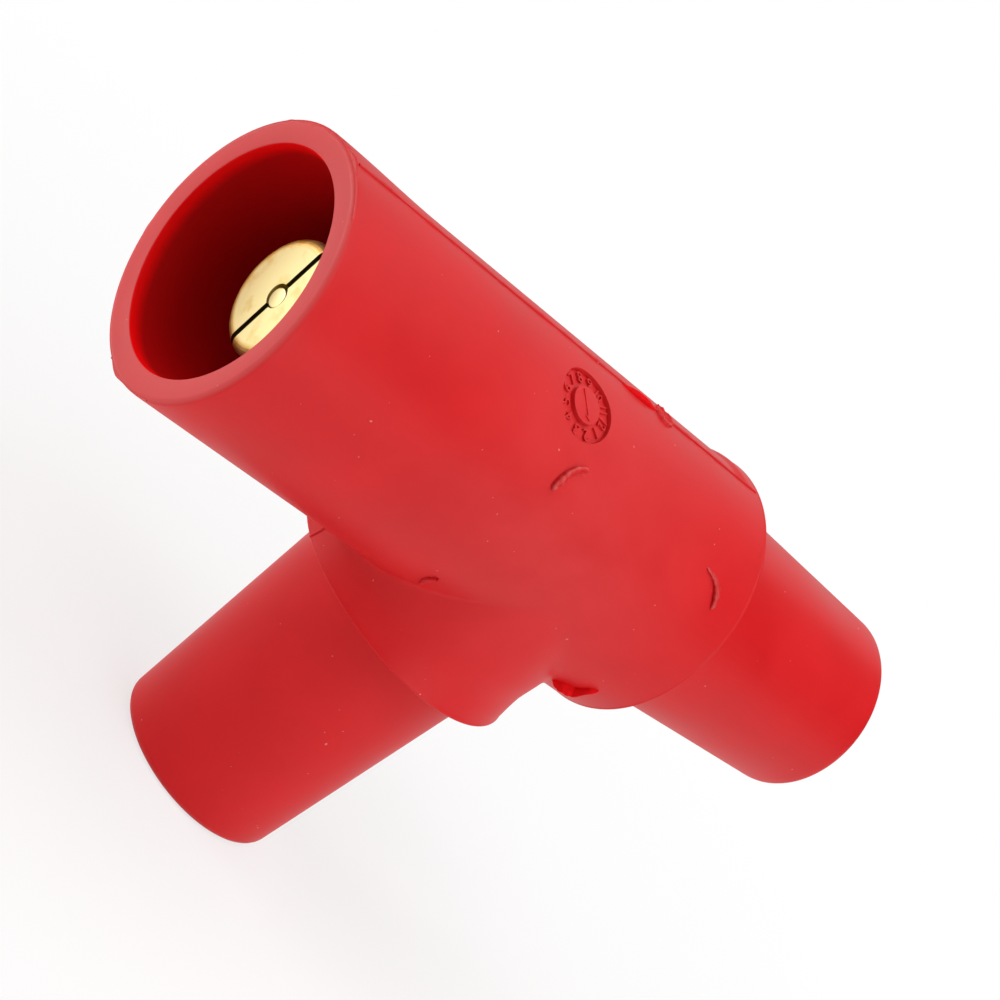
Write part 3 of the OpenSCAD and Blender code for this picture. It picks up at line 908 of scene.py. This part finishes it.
# The same elastomer on raised ridges: red flanks and a paler crest, partly scuffing and partly a painted
# highlight where the crest catches the light
crestSheenLook = {"from": 0.525, "to": 0.565, "pale": 0.2}
crestSheenRubber, tree, shader, space = newMaterial("sheen_scuff_crest_elastomer_red")
crest = addNode(tree, "ShaderNodeNewGeometry").outputs["Pointiness"]
pale = addNode(tree, "ShaderNodeMapRange", {
    "Value": crest, "From Min": crestSheenLook["from"], "From Max": crestSheenLook["to"],
    "To Min": 0.0, "To Max": crestSheenLook["pale"]})
tint = addNode(tree, "ShaderNodeMix", {
    "Factor": pale.outputs[0],
    "A": colour(elastomer["deep"]), "B": colour(elastomer["palePink"])}, data_type="RGBA")
tree.links.new(tint.outputs["Result"], shader.inputs["Base Color"])
shader.inputs["Roughness"].default_value = elastomer["rough"]
shader.inputs["Specular IOR Level"].default_value = elastomer["gloss"]


# Brass, turned on a lathe: pale yellow face with a soft sheen, golden brown tarnish towards the outer edge
brassLook = {
    "bright": "#FFF4B2",
    "tarnish": "#EED27A",
    "gilt": "#D8A448",
    "brown": "#74430E",
    "slotShadow": "#2A1C0C",
    "rough": 0.38,
    "duller": 0.2,  # added where it is tarnished
    "stainSize": 2.5,  # mm
    "edgeFrom": 7.0,  # mm from the axis
    "edgeTo": 8.8,
    "slotTurn": 5.5,  # degrees
    "slotHalf": 0.44,  # mm
    "slotFade": 0.5,
    "slotDark": 0.92,
}


def turnedBrass(name, flatten, centre, slotAcross=None):
    metal, tree, shader, space = newMaterial(name)
    flat = addNode(tree, "ShaderNodeMapping", {"Vector": space, "Location": centre, "Scale": flatten})
    out = addNode(tree, "ShaderNodeVectorMath", {0: flat.outputs["Vector"]}, operation="LENGTH")
    stain = addNode(tree, "ShaderNodeTexNoise", {
        "Vector": space, "Scale": perMm(brassLook["stainSize"]), "Detail": 5.0})
    tint = addNode(tree, "ShaderNodeValToRGB", {"Fac": stain.outputs["Fac"]},
                   [(0.52, colour(brassLook["bright"])), (0.8, colour(brassLook["tarnish"]))])
    edge = addNode(tree, "ShaderNodeMapRange", {
        "Value": out.outputs["Value"],
        "From Min": brassLook["edgeFrom"] * mm, "From Max": brassLook["edgeTo"] * mm})
    gilt = addNode(tree, "ShaderNodeValToRGB", {"Fac": edge.outputs[0]},
                   [(0.3, colour(brassLook["gilt"])), (0.95, colour(brassLook["brown"]))])
    patchy = addNode(tree, "ShaderNodeMapRange", {
        "Value": stain.outputs["Fac"], "From Min": 0.3, "From Max": 0.6, "To Min": 0.65, "To Max": 1.0})
    cover = addNode(tree, "ShaderNodeMapRange", {"Value": edge.outputs[0], "From Max": 0.45})
    blotch = addNode(tree, "ShaderNodeMath", {
        0: cover.outputs[0], 1: patchy.outputs[0]}, operation="MULTIPLY")
    worn = addNode(tree, "ShaderNodeMix", {
        "Factor": blotch.outputs[0],
        "A": tint.outputs["Color"], "B": gilt.outputs["Color"]}, data_type="RGBA")
    tree.links.new(worn.outputs["Result"], shader.inputs["Base Color"])
    if slotAcross:  # painted shadow in the slot of the split pin: its walls are coloured near black
        across = addNode(tree, "ShaderNodeVectorMath", {
            0: flat.outputs["Vector"], 1: slotAcross}, operation="DOT_PRODUCT")
        inside = addNode(tree, "ShaderNodeMath", {0: across.outputs["Value"]}, operation="ABSOLUTE")
        slotShadow = addNode(tree, "ShaderNodeMapRange", {
            "Value": inside.outputs[0],
            "From Min": brassLook["slotHalf"] * mm, "From Max": brassLook["slotFade"] * mm,
            "To Min": brassLook["slotDark"], "To Max": 0.0})
        slotDark = addNode(tree, "ShaderNodeMix", {
            "Factor": slotShadow.outputs[0],
            "A": worn.outputs["Result"], "B": colour(brassLook["slotShadow"])}, data_type="RGBA")
        tree.links.new(slotDark.outputs["Result"], shader.inputs["Base Color"])
    rough = addNode(tree, "ShaderNodeMapRange", {
        "Value": blotch.outputs[0],
        "To Min": brassLook["rough"], "To Max": brassLook["rough"] + brassLook["duller"]})
    tree.links.new(rough.outputs[0], shader.inputs["Roughness"])
    shader.inputs["Metallic"].default_value = 1
    return metal


slotTurn = math.radians(brassLook["slotTurn"])
slotAcross = (0, math.cos(slotTurn), -math.sin(slotTurn))
pinBrass = turnedBrass("turned_brass_pin", (0, 1, 1), (0, 0, -crossing.z), slotAcross)
runBrass = turnedBrass("turned_brass_run", (0, 1, 1), (0, 0, -crossing.z))
branchBrass = turnedBrass("turned_brass_branch", (1, 1, 0), (0, 0, 0))


# Steel, ground between centres: cool grey with fine lines along the pin
steelLook = {"dark": "#B9BBBE", "light": "#D2D4D6", "rough": 0.28, "lineSize": 0.2, "stretch": 0.05}
steel, tree, shader, space = newMaterial("ground_steel_pin")
stretched = addNode(tree, "ShaderNodeMapping", {"Vector": space, "Scale": (1, steelLook["stretch"], 1)})
lines = addNode(tree, "ShaderNodeTexNoise", {
    "Vector": stretched.outputs["Vector"], "Scale": perMm(steelLook["lineSize"]), "Detail": 3.0})
tint = addNode(tree, "ShaderNodeValToRGB", {"Fac": lines.outputs["Fac"]},
               [(0.3, colour(steelLook["dark"])), (0.7, colour(steelLook["light"]))])
tree.links.new(tint.outputs["Color"], shader.inputs["Base Color"])
shader.inputs["Metallic"].default_value = 1
shader.inputs["Roughness"].default_value = steelLook["rough"]
print("materials made")


def dress(piece, material):
    piece.data.materials.clear()
    piece.data.materials.append(material)


moulded = ((tee, rubber), (arrow, rubber), (tornFlash, tornShadedRubber), (cornerRidges, crestSheenRubber))
for piece, material in moulded:
    dress(piece, material)
    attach(piece, "root")
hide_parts("insulating_body")
dress(expander, runBrass)
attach(expander, "root")
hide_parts("expander_pin")
for name, node in frame["nodes"].items():
    if name == "branch_socket":
        dress(node, branchBrass)
    elif name == "male_contact":
        dress(node, pinBrass)
    elif name.endswith(("cam_pin", "lock_pin")):
        dress(node, steel)
    elif name != "insulating_body":
        dress(node, runBrass)


# Floor and light
stage = {
    "floor": 6,  # metres
    "paper": "#F4F3F2",
    "glowNear": 0.7,  # how much of the white is even, close to the tee
    "glowFar": 1.0,
    "near": 0.06,
    "far": 0.2,
    "world": 0.04,
}
startFresh()
bpy.ops.mesh.primitive_plane_add(size=stage["floor"])
floor = bpy.context.object
floor.name = "floor"
# Paper, matte white: pure white where the camera or a gloss sees it, with the shadow kept
paper, tree, shader, space = newMaterial("matte_white_paper")
tree.nodes.remove(shader)
ray = addNode(tree, "ShaderNodeLightPath")
direct = addNode(tree, "ShaderNodeMath", {
    0: ray.outputs["Is Camera Ray"], 1: ray.outputs["Is Glossy Ray"]}, operation="MAXIMUM")
seen = addNode(tree, "ShaderNodeMath", {
    0: direct.outputs[0], 1: ray.outputs["Is Transmission Ray"]}, operation="MAXIMUM")
away = addNode(tree, "ShaderNodeVectorMath", {0: space}, operation="LENGTH")
paler = addNode(tree, "ShaderNodeMapRange", {
    "Value": away.outputs["Value"], "From Min": stage["near"], "From Max": stage["far"],
    "To Min": stage["glowNear"], "To Max": stage["glowFar"]})
fade = addNode(tree, "ShaderNodeMath", {0: seen.outputs[0], 1: paler.outputs[0]}, operation="MULTIPLY")
matte = addNode(tree, "ShaderNodeBsdfDiffuse", {"Color": colour(stage["paper"])})
glow = addNode(tree, "ShaderNodeEmission", {"Color": (1, 1, 1, 1), "Strength": 1.0})
mixed = addNode(tree, "ShaderNodeMixShader", {0: fade.outputs[0], 1: matte.outputs[0], 2: glow.outputs[0]})
tree.links.new(mixed.outputs[0], tree.nodes["Material Output"].inputs["Surface"])
dress(floor, paper)

lamps = [
    {"name": "top_softbox", "at": (0.10, 0.0, 0.80), "size": 0.7, "power": 3.2},
    {"name": "front_top_softbox", "at": (0.05, -0.45, 0.65), "size": 0.6, "power": 2.55},
    {"name": "front_low_softbox", "at": (0.20, -0.78, 0.08), "size": 0.5, "power": 2.95},
    {"name": "left_softbox", "at": (-0.70, 0.45, 0.15), "size": 0.4, "power": 3.8},
    {"name": "left_top_softbox", "at": (-0.55, 0.10, 0.60), "size": 0.5, "power": 1.1},
    {"name": "back_softbox", "at": (0.55, 0.50, 0.40), "size": 0.6, "power": 1.25},
]
for lamp in lamps:
    startFresh()
    bpy.ops.object.light_add(type="AREA", location=lamp["at"])
    light = bpy.context.object
    light.name = lamp["name"]
    light.data.energy = lamp["power"]
    light.data.size = lamp["size"]
    light.rotation_mode = "QUATERNION"
    light.rotation_quaternion = (crossing - light.location).to_track_quat("-Z", "Y")
sky = bpy.data.worlds.new("studio")
scene.world = sky
sky.use_nodes = True
sky.node_tree.nodes["Background"].inputs["Color"].default_value = (1, 1, 1, 1)
sky.node_tree.nodes["Background"].inputs["Strength"].default_value = stage["world"]
print("stage lit")

bpy.context.view_layer.update()
